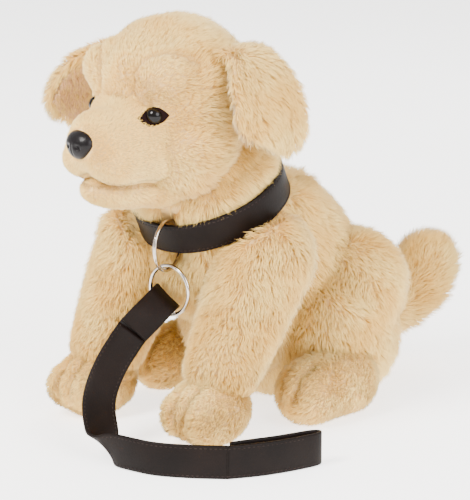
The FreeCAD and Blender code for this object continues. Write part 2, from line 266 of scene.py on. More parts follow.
def metal_material(name):
    material, tree, shader = new_material(name, 0.18)
    shader.inputs["Metallic"].default_value = 1.0
    worn = ramp(tree, noise(tree, 130.0, 4.0), [(0.35, (0.40, 0.35, 0.30)), (0.7, (0.62, 0.56, 0.50))])
    tree.links.new(worn, shader.inputs["Base Color"])
    bump(tree, shader, noise(tree, 300.0, 3.0), 0.08, 0.0001)
    return material


def plastic_material(name, dark, light, roughness, shine, grain=0.0):
    material, tree, shader = new_material(name, roughness, shine)
    cloudy = ramp(tree, noise(tree, 90.0, 3.0), [(0.4, dark), (0.7, light)])
    tree.links.new(cloudy, shader.inputs["Base Color"])
    if grain:
        bump(tree, shader, noise(tree, 900.0, 2.0), grain, 0.0003)
    return material


def floor_material():
    material, tree, shader = new_material("floor", 0.8, 0.1)
    shader.inputs["Emission Color"].default_value = (1.0, 0.995, 0.985, 1)
    shader.inputs["Emission Strength"].default_value = 2.2
    pale = ramp(tree, noise(tree, 6.0), [(0.3, (0.90, 0.89, 0.885)), (0.7, (0.92, 0.915, 0.91))])
    tree.links.new(pale, shader.inputs["Base Color"])
    return material


# The root colours are the pile's own cream, darkened as painted shade deep in the pile.
CREAM_TIP = (0.96, 0.69, 0.23)
SHADED_CREAM_ROOT = (0.70, 0.34, 0.045)
# Painted shade laid into the long pile along the face seams.
TAN_SEAM_SHADE = (0.50, 0.24, 0.07)
LONG_PILE = pile_material("long_pile", SHADED_CREAM_ROOT, CREAM_TIP, TAN_SEAM_SHADE)
# The short pile's third colour is painted shade along the mouth and toe seams.
SHORT_PILE = pile_material("short_pile", (0.86, 0.48, 0.11), (1.0, 0.73, 0.25), (0.20, 0.08, 0.02))
LINING_PILE = pile_material("lining_pile", (0.58, 0.29, 0.13), (0.86, 0.54, 0.28), (0.50, 0.28, 0.15))
LONG = (LONG_PILE, "long_pile")
SHORT = (SHORT_PILE, "short_pile")
LINING = (LINING_PILE, "ear_lining")
# The backing's tan is painted shade deep in the pile, seen between the strands.
BACKING = backing_material("backing", (0.72, 0.48, 0.20), (0.62, 0.39, 0.15))
LEATHER = leather_material(
    "strap_leather", (0.003, 0.0014, 0.001), (0.007, 0.0035, 0.0025), 0.5, 900.0, 0.1,
)
LID = leather_material("lid_leather", (0.003, 0.001, 0.001), (0.010, 0.0022, 0.0016), 0.6, 1500.0, 0.05)
THREAD = leather_material("thread", (0.012, 0.008, 0.007), (0.028, 0.019, 0.016), 0.8, 2500.0, 0.1)
NICKEL = metal_material("nickel")
EYE = plastic_material("eye_plastic", (0.002, 0.0015, 0.0015), (0.006, 0.003, 0.0025), 0.06, 0.2)
NOSE = plastic_material("nose_plastic", (0.003, 0.0022, 0.0025), (0.008, 0.006, 0.007), 0.3, 0.16, 0.4)


def paint(obj, material):
    obj.data.materials.clear()
    obj.data.materials.append(material)


# Soft forms ------------
def ball(centre, semi, turn=(0, 0, 0)):
    """One rounded lump: its middle, half sizes and turn in degrees."""
    if not isinstance(semi, tuple):
        semi = (semi, semi, semi)
    return centre, semi, turn


def chain(low, low_radius, high, high_radius, count=9):
    """Lumps in a row, from one round end to the other."""
    steps = np.linspace(0, 1, count)
    low, high = np.asarray(low, float), np.asarray(high, float)
    radii = [float(low_radius + (high_radius - low_radius) * t) for t in steps]
    return [ball(tuple(low + (high - low) * t), radius) for t, radius in zip(steps, radii)]


def mirror(lumps):
    """The lumps and their mirror images across the middle."""
    return lumps + [((-c[0], c[1], c[2]), semi, (t[0], -t[1], -t[2])) for c, semi, t in lumps]


LINE_STEP = 1.5
SKIN_ABOVE_FLOOR = 0.4
LUMP_SIZE = 34.0      # how far apart the gentle lumps of the filling are


def on_skin(tree, line):
    """A broken line in mm, drawn in short steps on the nearest part of a skin."""
    line = np.asarray(line, dtype=float)
    places = []
    for a, b in zip(line, line[1:]):
        for t in np.arange(0, 1, LINE_STEP / np.linalg.norm(b - a)):
            places.append(a + (b - a) * t)
    places.append(line[-1])
    return [np.array(tree.find_nearest(Vector(p) * MM)[0]) / MM for p in places]


def tree_of(obj):
    corners = [v.co.copy() for v in obj.data.vertices]
    return BVHTree.FromPolygons(corners, [tuple(p.vertices) for p in obj.data.polygons])


def soft_form(name, lumps, voxel=2.4, smooth=14, head=False, lump=0.7, seed=1, creases=()):
    """A stuffed form: lumps joined into one closed skin, eased, creased along its seams."""
    shape = bmesh.new()
    place = Matrix.Identity(4)
    if head:
        place = Matrix.Translation(Vector(HEAD_CENTRE)) @ Matrix.Rotation(HEAD_YAW, 4, "Z")
    for centre, semi, turn in lumps:
        spin = Matrix.Identity(4)
        for axis, angle in zip("ZYX", turn[::-1]):
            spin = spin @ Matrix.Rotation(math.radians(angle), 4, axis)
        where = Matrix.Scale(MM, 4) @ place @ Matrix.Translation(Vector(centre))
        where = where @ spin @ Matrix.Diagonal((*semi, 1))
        bmesh.ops.create_icosphere(shape, subdivisions=4, radius=1, matrix=where)
    mesh = bpy.data.meshes.new(name)
    shape.to_mesh(mesh)
    shape.free()
    obj = add_object(name, mesh)
    joined = obj.modifiers.new("join", "REMESH")
    joined.mode = "VOXEL"
    joined.voxel_size = voxel * MM
    eased = obj.modifiers.new("ease", "SMOOTH")
    eased.factor = 0.5
    eased.iterations = smooth
    settle(obj)
    points = read(obj.data, "co") / MM
    normals = read(obj.data, "normal")
    move = lump * waves(points, LUMP_SIZE, seed)
    skin = tree_of(obj)
    for line, depth, width in creases:
        move -= depth * np.exp(-(line_distance(points, on_skin(skin, line)) / width) ** 2)
    points = points + normals * move[:, None]
    points[:, 2] = np.maximum(points[:, 2], SKIN_ABOVE_FLOOR)
    write(obj.data, points * MM)
    paint(obj, BACKING)
    return obj


def inside(tree, points, depth):
    """Which points, in mm, lie deeper than depth inside a closed skin."""
    hidden = np.zeros(len(points), dtype=bool)
    for i, p in enumerate(points):
        spot, normal, _, far = tree.find_nearest(Vector(p) * MM, 0.12)
        if spot is not None:
            hidden[i] = (Vector(p) * MM - spot).dot(normal) < 0 and far > depth * MM
    return hidden


# Pile ------------
STRAND_POINTS = 7      # three at the root, three half way up and the tip
STRAND_FACES = [(0, 2, 1)]
for corner in range(3):
    after = (corner + 1) % 3
    STRAND_FACES += [(corner, after, 3 + after), (corner, 3 + after, 3 + corner)]
    STRAND_FACES += [(3 + corner, 3 + after, 6)]
STRAND_FACES = np.array(STRAND_FACES)
STRAND_HEIGHT = np.array([0, 0, 0, 0.55, 0.55, 0.55, 1.0])
MOST_STRANDS = 19000      # in one piece, which keeps its mesh under 200,000 triangles
PILE_ABOVE_FLOOR = 0.3
LENGTH_SPREAD = (0.72, 1.12)
WIDTH_SPREAD = (0.75, 1.2)
SWIRL_SIZE, SWIRL_SHARE = 26.0, 0.45
TUFT_REACH = 9.0
ROOT_DEPTH = 0.6
RING_CLEARANCE = 2.4


def scatter(obj, density, rng):
    """Roots spread evenly over a skin: places in mm and normals."""
    mesh = obj.data
    mesh.calc_loop_triangles()
    corners = np.empty(len(mesh.loop_triangles) * 3, dtype=np.int32)
    mesh.loop_triangles.foreach_get("vertices", corners)
    corners = corners.reshape(-1, 3)
    points, normals = read(mesh, "co") / MM, read(mesh, "normal")
    a, b, c = (points[corners[:, k]] for k in range(3))
    area = np.linalg.norm(np.cross(b - a, c - a), axis=1) / 2
    pick = rng.choice(len(area), int(area.sum() * density), p=area / area.sum())
    u, v = np.sqrt(rng.random(len(pick))), rng.random(len(pick))
    shares = (1 - u, u * (1 - v), u * v)
    roots = sum(s[:, None] * points[corners[pick, k]] for k, s in enumerate(shares))
    outs = sum(s[:, None] * normals[corners[pick, k]] for k, s in enumerate(shares))
    return roots, unit(outs)


def nearest_of(points, step):
    """For each point, the index of its tuft: the nearest of every few points."""
    tree = KDTree(len(points) // step + 1)
    for i in range(0, len(points), step):
        tree.insert(points[i], i)
    tree.balance()
    return np.array([tree.find(p)[1] for p in points])


def strand_mesh(name, roots, mids, tips, outs, width, tints, shades):
    """One mesh of many thin closed strands, each a bent three-sided spike."""
    count = len(roots)
    along = unit(mids - roots)
    side = unit(np.cross(along, outs + 0.01))
    face = np.cross(along, side)
    points = np.empty((count, STRAND_POINTS, 3))
    normals = np.empty((count, STRAND_POINTS, 3))
    for k in range(3):
        turn = 2 * math.pi * k / 3
        away = side * math.cos(turn) + face * math.sin(turn)
        points[:, k] = roots + away * width[:, None]
        points[:, 3 + k] = mids + away * (width * 0.8)[:, None]
        normals[:, k] = unit(outs * 0.8 + away * 0.5)
        normals[:, 3 + k] = unit(outs * 0.7 + away * 0.6)
    points[:, 6] = tips
    normals[:, 6] = unit(outs + unit(tips - mids) * 0.4)
    points[..., 2] = np.maximum(points[..., 2], PILE_ABOVE_FLOOR)
    mesh = bpy.data.meshes.new(name)
    mesh.vertices.add(count * STRAND_POINTS)
    mesh.vertices.foreach_set("co", (points * MM).astype(np.float32).ravel())
    faces = (np.arange(count)[:, None, None] * STRAND_POINTS + STRAND_FACES[None]).reshape(-1)
    mesh.loops.add(len(faces))
    mesh.loops.foreach_set("vertex_index", faces.astype(np.int32))
    mesh.polygons.add(len(faces) // 3)
    mesh.polygons.foreach_set("loop_start", np.arange(0, len(faces), 3, dtype=np.int32))
    mesh.update(calc_edges=True)
    mesh.polygons.foreach_set("use_smooth", np.ones(len(faces) // 3, dtype=bool))
    colours = np.ones((count, STRAND_POINTS, 4), dtype=np.float32)
    # Red, the height along the strand, sets where the root's painted shade falls in the material.
    colours[..., 0] = STRAND_HEIGHT
    colours[..., 1] = tints[:, None]
    # Blue: painted shade along seam lines, stronger towards the root.
    colours[..., 2] = shades[:, None] * (1 - 0.5 * STRAND_HEIGHT)
    layer = mesh.color_attributes.new("pile", "FLOAT_COLOR", "POINT")
    layer.data.foreach_set("color", colours.ravel())
    grid = int(math.ceil(math.sqrt(count)))
    cell = np.arange(count)
    spot = np.empty((count, STRAND_POINTS, 2))
    spot[..., 0] = ((cell % grid)[:, None] + 0.3 + 0.2 * np.array([0, 1, 2, 0, 1, 2, 1])) / grid
    spot[..., 1] = ((cell // grid)[:, None] + 0.15 + 0.7 * STRAND_HEIGHT) / grid
    layer = mesh.uv_layers.new(name="OFBake")
    layer.data.foreach_set("uv", spot.reshape(-1, 2)[faces].astype(np.float32).ravel())
    mesh.normals_split_custom_set_from_vertices(normals.reshape(-1, 3).tolist())
    return add_object(name, mesh)


def grow(name, skin, density, length, comb, material, slot, body, seed, **look):
    """Pile over a skin. length and comb are values or functions of the roots, in mm.

    look may hold: keep, which roots stay; clear_of, skins that hide roots deeper in them than
    depth; lines, each with how much it shortens, how far it reaches, and along which it paints
    shade into the pile; lean and stray, how the strands lie; tuft and pull, how they gather;
    width, of one strand.
    """
    rng = np.random.default_rng(seed)
    roots, outs = scatter(skin, density, rng)
    keep = np.ones(len(roots), dtype=bool)
    if "keep" in look:
        keep &= look["keep"](roots)
    roots, outs = roots[keep], outs[keep]
    for other in look.get("clear_of", ()):
        shown = ~inside(other, roots, look.get("depth", 2.0))
        roots, outs = roots[shown], outs[shown]
    count = len(roots)
    long = length(roots) if callable(length) else np.full(count, float(length))
    shades = np.zeros(count)
    ground = tree_of(skin)
    # Along each seam line the pile is shortened and painted shade is laid into it.
    for line, shrink, reach in look.get("lines", ()):
        near = np.exp(-(line_distance(roots, on_skin(ground, line)) / reach) ** 2)
        long = long * (1 - shrink * near)
        shades = np.maximum(shades, 0.8 * near)
    long = long * rng.uniform(*LENGTH_SPREAD, count)
    flow = comb(roots) if callable(comb) else np.tile(np.asarray(comb, float), (count, 1))
    swirl = np.stack([waves(roots, SWIRL_SIZE, seed + k) for k in (1, 2, 3)], axis=1)
    flow = unit(flow) + SWIRL_SHARE * swirl
    flow = unit(flow - outs * np.sum(flow * outs, axis=1, keepdims=True))
    lean = look.get("lean", 0.8)
    stray = look.get("stray", 0.28)
    way = unit(outs + flow * lean + rng.normal(size=(count, 3)) * stray)
    mids = roots + way * (long * 0.5)[:, None]
    bent = way + flow * 0.55 + rng.normal(size=(count, 3)) * stray * 0.8
    ends = unit(bent + np.array([0, 0, -0.15]))
    tips = mids + ends * (long * 0.5)[:, None]
    tuft = nearest_of(roots, look.get("tuft", 22))
    pull = look.get("pull", 0.45) * rng.uniform(0.6, 1.0, count)[:, None]
    close = np.exp(-(np.linalg.norm(roots[tuft] - roots, axis=1) / TUFT_REACH) ** 2)[:, None]
    mids = mids + (mids[tuft] - mids) * pull * close * 0.45
    tips = tips + (tips[tuft] - tips) * pull * close
    roots = roots - outs * ROOT_DEPTH
    width = look.get("width", 0.25) * rng.uniform(*WIDTH_SPREAD, count)
    tints = 0.5 + 0.3 * rng.normal(size=count) + 0.2 * waves(roots, 18.0, seed + 9)
    tints = np.clip(tints, 0, 1)
    mids, tips = off_band(mids), off_band(tips)
    free = ~in_band(roots)
    free &= (ring_distance(mids) > RING_CLEARANCE) & (ring_distance(tips) > RING_CLEARANCE)
    strands = [v[free] for v in (roots, mids, tips, outs, width, tints, shades)]
    count = len(strands[0])
    parts = count // MOST_STRANDS + 1
    for k in range(parts):
        some = slice(k * count // parts, (k + 1) * count // parts)
        label = name if parts == 1 else name + "_" + str(k + 1)
        obj = strand_mesh(label, *(v[some] for v in strands))
        paint(obj, material)
        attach(obj, body)
    print(name, "strands", count, "in", parts)


# The stuffed pieces ------------
NECK_RADIUS = 43.0
GROOVE_HALF, GROOVE_SLOPE = 11.5, 1.6      # the groove's half width, and how its sides open out
COLLAR_REACH = 80.0                        # nothing further out belongs to the neck
LEG_TOP = -12.5                            # the legs stay this far under the collar's middle
BAND_LOW, BAND_HIGH = -10.8, 7.8           # the heights on the collar that pile stays off
BAND_IN, BAND_OUT = 44.5, 52.0             # pile nearer to or further from the axis is free
RING_CENTRE = np.array([7.0, -116.5, 114.9])
RING_NORMAL = unit((math.cos(math.radians(15.0)), math.sin(math.radians(15.0)), 0.0))
LEASH_RING_CENTRE = np.array([8.0, -116.4, 87.2])
LEASH_RING_NORMAL = unit((0.1, -0.995, 0.0))
RING_RADIUS = 15.2
RING_ROOM = 3.2                            # what the left leg leaves round the leash ring's wire
POCKET_DEPTH, POCKET_HALF = 8.0, 7.0


def collar_place(points):
    """Height along the collar's axis, the spoke out from it, and the spoke's length."""
    high = (points - COLLAR_CENTRE) @ COLLAR_AXIS
    spoke = points - COLLAR_CENTRE - high[:, None] * COLLAR_AXIS
    return high, spoke, np.linalg.norm(spoke, axis=1)


def ring_place(points, centre, normal):
    """Height over a ring's plane, and distance from its axis."""
    high = (points - centre) @ normal
    return high, np.linalg.norm(points - centre - high[:, None] * normal, axis=1)


def stuffed(obj, body, nodes):
    """Says what a filled piece is: its body and the CAD nodes that it stands for."""
    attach(obj, body)
    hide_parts(*nodes)


def neck_lumps():
    """The neck under and over the collar, as discs in a row along the collar's axis."""
    discs = [(step, NECK_RADIUS, 9.0) for step in np.linspace(-26, 20, 9)]
    discs += [(30, 38.0, 10.0), (38, 33.0, 10.0)]
    lean = (math.degrees(COLLAR_LEAN), 0, 0)
    places = [tuple(COLLAR_CENTRE + COLLAR_AXIS * step) for step, _, _ in discs]
    return [ball(place, (wide, wide, thick), lean) for place, (_, wide, thick) in zip(places, discs)]


TORSO = soft_form(
    "torso",
    chain((0, 2, 48), 50, (0, -14, 90), 46)
    + chain((0, -14, 90), 46, (0, -43, 125), 40)
    + [ball((0, -72, 100), (44, 34, 36)), ball((0, -50, 62), (34, 30, 40))]
    + mirror([ball((30, -60, 106), (22, 26, 26))])
    + neck_lumps(),
    smooth=12, seed=11,
)


def press_collar(obj):
    """The collar holds a groove in the back and chest, with sloping sides."""
    points = read(obj.data, "co") / MM
    high, spoke, out = collar_place(points)
    allowed = NECK_RADIUS + np.clip(np.abs(high) - GROOVE_HALF, 0, None) * GROOVE_SLOPE
    held = (out > allowed) & (out < COLLAR_REACH)
    spoke = np.where(held[:, None], spoke * (allowed / out)[:, None], spoke)
    write(obj.data, (COLLAR_CENTRE + high[:, None] * COLLAR_AXIS + spoke) * MM)


def press_pocket(obj):
    """The collar ring presses a hollow into the chest."""
    points = read(obj.data, "co") / MM
    high, flat = ring_place(points, RING_CENTRE, RING_NORMAL)
    deep = POCKET_DEPTH * np.exp(-(high / POCKET_HALF) ** 2) * np.clip((24 - flat) / 8, 0, 1)
    points[:, 1] += deep
    write(obj.data, points * MM)


press_collar(TORSO)
press_pocket(TORSO)

# Seams and lumps of the face, in the head's own frame
BROW = [(15, -46, 6), (17, -43, 20), (24, -36, 28), (35, -23, 30), (43, -15, 24)]
STOP = [(-24, -41, -3), (-15, -45, 2), (0, -47, 3), (15, -45, 2), (24, -41, -3)]
# The mouth is drawn only in the pile, by shorter strands with painted shade along this line.
MOUTH = [
    (-34, -14, -45), (-25, -44, -45), (-12, -64, -44.5), (1, -69, -44), (14, -64, -44.5),
    (25, -44, -45), (34, -14, -45),
]
FAR_BROW = [(-x, y, z) for x, y, z in BROW]
FACE_CREASES = [(BROW, 1.8, 3.2), (FAR_BROW, 1.8, 3.2), (STOP, 2.6, 5.0)]      # line, depth, width
CROWN, CHEEK = ball((0, 0, 1), (50, 45, 45)), ball((23, -8, -24), (27, 27, 25))
FACE, FOREHEAD = ball((0, -16, -8), (39, 33, 33)), ball((0, -22, 14), (28, 22, 25))
BROW_LUMP, JOWL = ball((21, -25, 17), (22, 18, 17)), ball((18, -11, -38), (22, 25, 19))
SKULL = soft_form(
    "head",
    [CROWN, FACE, FOREHEAD] + mirror([CHEEK, BROW_LUMP, JOWL]),
    head=True, smooth=12, seed=12,
    creases=[(in_head(line), depth, width) for line, depth, width in FACE_CREASES],
)
MUZZLE = soft_form(
    "muzzle",
    [ball((0, -41, -24), (28, 32, 22)), ball((0, -55, -19), (19, 17, 16))]
    + [ball((0, -26, -15), (34, 27, 26))]
    + mirror([ball((12, -45, -33), (17, 26, 14)), ball((17, -28, -31), (18, 24, 16))]),
    head=True, voxel=1.8, smooth=14, lump=0.3, seed=13,
)
CHIN = soft_form(
    "chin",
    [ball((0, -34, -51.5), (23, 32, 11.5)), ball((0, -18, -50), (29, 22, 15))],
    head=True, voxel=1.8, smooth=8, lump=0.2, seed=19,
)


def clear_collar(obj):
    """A limb gives way under the collar's lower edge."""
    points = read(obj.data, "co") / MM
    high, _, out = collar_place(points)
    allowed = LEG_TOP + np.clip(out - BAND_OUT, 0, None)
    held = (high > allowed) & (out > 40) & (out < COLLAR_REACH)
    points = points + np.where(held, allowed - high, 0.0)[:, None] * COLLAR_AXIS
    write(obj.data, points * MM)


def leg_pair(label, lumps_of, seed, creases_of=None, **options):
    """The left and right forms of one part of the legs, by side."""
    made = {}
    for name in ("left", "right"):
        seams = creases_of(name) if creases_of else ()
        made[name] = soft_form(label + name, lumps_of(name), seed=seed, creases=seams, **options)
    return made


TOE_DEPTH, TOE_WIDTH = 2.2, 2.6


def toe_creases(x, y):
    """The two seams that part the toes, over the front of a foot."""
    lines = [[(x + k, y - 8, 34), (x + k, y - 20, 30), (x + k, y - 28, 18)] for k in (-5, 5)]
    return [(line, TOE_DEPTH, TOE_WIDTH) for line in lines]


def paw_creases(name):
    x, y, _ = PAWS[name]
    return toe_creases(x, y)


def foot_creases(name):
    x, y, _ = FEET[name][1]
    return toe_creases(x, y + 10)


# Where each limb lies: the middle of a paw, the low and high ends of a leg or a haunch, and the
# back and front ends of a hind foot
LEGS = {"left": ((47, -109, 44), (44, -70, 106)), "right": ((-47, -117, 44), (-44, -88, 104))}
PAWS = {"left": (46, -122, 20.5), "right": (-49.5, -129, 20.5)}
THIGH = {"left": ((39, -6, 52), (37, 14, 74)), "right": ((-39, -8, 50), (-37, 12, 72))}
FEET = {"left": ((58, -14, 21), (60, -47, 19)), "right": ((-58, -27, 21), (-60, -58, 19))}


def leg_lumps(name):
    low, high = LEGS[name]
    return chain(low, 21.5, high, 26)


def paw_lumps(name):
    x, y, z = PAWS[name]
    toes = [ball((x + k * 9.5, y - 13, 19), (9.5, 12, 13)) for k in (-1, 0, 1)]
    return [ball((x, y + 3, z), (22, 26, 20.5))] + toes


def thigh_lumps(name):
    low, high = THIGH[name]
    side = 1 if name == "left" else -1
    return chain(low, 31, high, 33) + [ball((side * 40, 4, 40), (30, 36, 32))]


def foot_lumps(name):
    low, high = FEET[name]
    return chain(low, 21, high, 19) + [ball((high[0], high[1] - 1, 19), (19, 18, 17))]


FRONT = leg_pair("front_leg_", leg_lumps, 14)
for front_leg in FRONT.values():
    clear_collar(front_leg)
PAW = leg_pair("front_paw_", paw_lumps, 15, paw_creases, voxel=1.8)
HAUNCH = leg_pair("thigh_", thigh_lumps, 16)
HIND = leg_pair("hind_foot_", foot_lumps, 17, foot_creases, voxel=1.8)
TAIL_LINE = [(0, 46, 36), (7, 78, 41), (11, 94, 46), (16, 105, 57), (20, 111, 69)]
TAIL_RADII = [13.5, 13.5, 15.5, 17.5, 15.5]
TAIL_RUNS = zip(TAIL_LINE, TAIL_RADII, TAIL_LINE[1:], TAIL_RADII[1:])
TAIL = soft_form("tail", sum([chain(*run, 5) for run in TAIL_RUNS], []), smooth=10, seed=18)


# Ears ------------
EARS = {  # each ear's line from its root to its end, in the head's frame: sideways, up
    "left": [(41.0, 26.0), (51.0, 28.5), (60.0, 21.5), (67.5, 4.0), (72.5, -26.0)],
    "right": [(-44.5, 22.0), (-58.0, 22.0), (-74.0, 13.0), (-85.0, -3.0), (-92.0, -27.0)],
}
EAR_SIDE = {"left": 1, "right": -1}
EAR_MIDDLE = {"left": (14.0, 19.0), "right": (8.0, -8.0)}      # fore-aft place of root and end
EAR_SHARES = (0.0, 0.2, 0.4, 0.6, 0.8, 0.93, 1.0)
EAR_HALVES = (15.0, 17.0, 24.0, 27.0, 26.0, 19.0, 8.0)         # half widths at those shares
EAR_ROWS, EAR_COLUMNS = 30, 15
EAR_CUP, EAR_DROOP = 3.5, 4.0


def smooth_line(points, count):
    """Evenly spaced places on a smooth curve through points in a plane."""
    points = np.asarray(points, float)
    knots = np.concatenate([[0], np.cumsum(np.linalg.norm(np.diff(points, axis=0), axis=1))])
    fine = np.linspace(0, knots[-1], 200)
    line = np.stack([np.interp(fine, knots, points[:, k]) for k in range(points.shape[1])], axis=1)
    for _ in range(260):
        line[1:-1] = (line[:-2] + line[1:-1] + line[2:]) / 3
    knots = np.concatenate([[0], np.cumsum(np.linalg.norm(np.diff(line, axis=0), axis=1))])
    even = np.linspace(0, knots[-1], count)
    return np.stack([np.interp(even, knots, line[:, k]) for k in range(points.shape[1])], axis=1)


def ear_layer(name, label, inner, outer, inset=0.0):
    """A closed flap between two distances from the ear's line, thin at its rim."""
    side = EAR_SIDE[name]
    line = smooth_line(EARS[name], EAR_ROWS)
    ahead = unit(np.gradient(line, axis=0))
    away = np.stack([-ahead[:, 1], ahead[:, 0]], axis=1) * side
    start, end = EAR_MIDDLE[name]
    core = (inner + outer) / 2
    rows, across = EAR_ROWS, EAR_COLUMNS
    points, faces = [], []
    for distance in (inner, outer):
        for i, t in enumerate(np.linspace(0, 1, rows)):
            wide = np.interp(t, EAR_SHARES, EAR_HALVES) - inset
            middle = start + (end - start) * t
            for k in range(across):
                s = -1 + 2 * k / (across - 1)
                rim = math.sqrt(max(0.0, 1 - s ** 4)) * min(1.0, (1.02 - t) * 6)
                off = core + (distance - core) * rim - EAR_CUP * s * s * t
                x, z = line[i] + away[i] * off
                points.append((x, middle + wide * s, z - EAR_DROOP * s * t))
    points = in_head(np.array(points))
    half = rows * across
    for quad in grid_faces(rows, across):
        faces.append(quad[::-1] if side > 0 else quad)
        top = [half + q for q in quad]
        faces.append(top if side > 0 else top[::-1])
    edge = list(range(across)) + [i * across + across - 1 for i in range(1, rows)]
    edge += [(rows - 1) * across + k for k in range(across - 2, -1, -1)]
    edge += [i * across for i in range(rows - 2, 0, -1)]
    for a, b in zip(edge, edge[1:] + edge[:1]):
        quad = [a, b, half + b, half + a]
        faces.append(quad if side > 0 else quad[::-1])
    obj = mesh_from(label, points, faces)
    joined = obj.modifiers.new("join", "REMESH")
    joined.mode = "VOXEL"
    joined.voxel_size = 1.3 * MM
    eased = obj.modifiers.new("ease", "SMOOTH")
    eased.factor = 0.5
    eased.iterations = 8
    settle(obj)
    paint(obj, BACKING)
    return obj


# Ways that the pile lies ------------
NOSE_MIDDLE = (0.0, -69.5, -22.0)
NOSE_AT = in_head(NOSE_MIDDLE)


def from_nose(roots):
    """On the face the pile runs back from a point just behind the nose."""
    return roots - NOSE_AT + np.array([0, 20, 0])


def down_back(roots):
    return np.array([0.0, 0.35, -1.0]) + roots * np.array([0.004, 0, 0])


def along_tail(roots):
    line = np.array(TAIL_LINE, float)
    near = np.argmin(np.linalg.norm(roots[:, None] - line[None, :-1], axis=2), axis=1)
    return unit(line[near + 1] - line[near])


def ear_flow(roots):
    local = to_head(roots)
    side = np.sign(local[:, :1])
    return np.concatenate([side * 0.5, local[:, 1:2] * 0.004, -np.ones_like(side)], axis=1)


def off_collar(roots):
    high, _, out = collar_place(roots)
    return (np.abs(high) > 8.5) | (out > BAND_OUT)


def torso_length(roots):
    """Shorter near the collar."""
    far = np.abs(collar_place(roots)[0]) - 10
    return np.clip(7.5 + 0.35 * far, 6.0, 11.5)


EYE_PLACE = np.array([28.0, -37.5, -5.5])
EYE_LEVEL = np.array([0.8, 0.6, 0.0])      # the way from the inner corner to the outer one
EYE_OUT = np.array([0.6, -0.8, 0.0])       # the way that the eye looks
EYE_HALF, EYE_OPEN = 8.4, 5.0
LID_ROOM = 1.12                           # the lid goes this much further, under the pile
LID_ABOVE_SKIN, LID_THICKNESS = 0.6, 0.5
EYES = in_head(np.array([EYE_PLACE, EYE_PLACE * (-1, 1, 1)]))


def head_length(roots):
    """Shorter towards the muzzle and round the eyes."""
    eye = np.min(np.linalg.norm(roots[:, None] - EYES[None], axis=2), axis=1)
    local = to_head(roots)
    front = np.clip((-local[:, 1] - 2) / 26, 0, 1)
    return (8.5 - 4.5 * front) * np.clip((eye + 5) / 16, 0.5, 1)


def off_eyes(roots):
    """Pile stays off an almond round each eye, level from corner to corner."""
    local = to_head(roots)
    local[:, 0] = np.abs(local[:, 0])
    across = (local - EYE_PLACE) @ EYE_LEVEL
    high = np.abs(local[:, 2] - EYE_PLACE[2] - 0.1 * across)
    return (high > EYE_OPEN * (1 - (across / EYE_HALF) ** 2)) | (local[:, 1] > 0)


def off_nose(roots):
    return np.linalg.norm((roots - NOSE_AT) / np.array([11.0, 11.0, 9.0]), axis=1) > 1.0


def leg_length(roots):
    return np.clip(5.5 + 0.09 * (roots[:, 2] - 35), 5.5, 11)


def off_floor(roots):
    return roots[:, 2] > 1.5


def ring_distance(points):
    """Distance of points from the middle of the nearest ring's wire."""
    best = np.full(len(points), 1e9)
    for ring in ((RING_CENTRE, RING_NORMAL), (LEASH_RING_CENTRE, LEASH_RING_NORMAL)):
        high, flat = ring_place(points, *ring)
        best = np.minimum(best, np.hypot(flat - RING_RADIUS, high))
    return best


def in_band(points):
    high, _, out = collar_place(points)
    return (high > BAND_LOW) & (high < BAND_HIGH) & (out > BAND_IN) & (out < BAND_OUT)


def off_band(points):
    """The same points, with those over the collar's face moved to its nearer edge."""
    high = collar_place(points)[0]
    held = in_band(points)
    edge = np.where(high < 0, BAND_LOW - 0.2, BAND_HIGH + 0.2)
    return points + np.where(held, edge - high, 0.0)[:, None] * COLLAR_AXIS


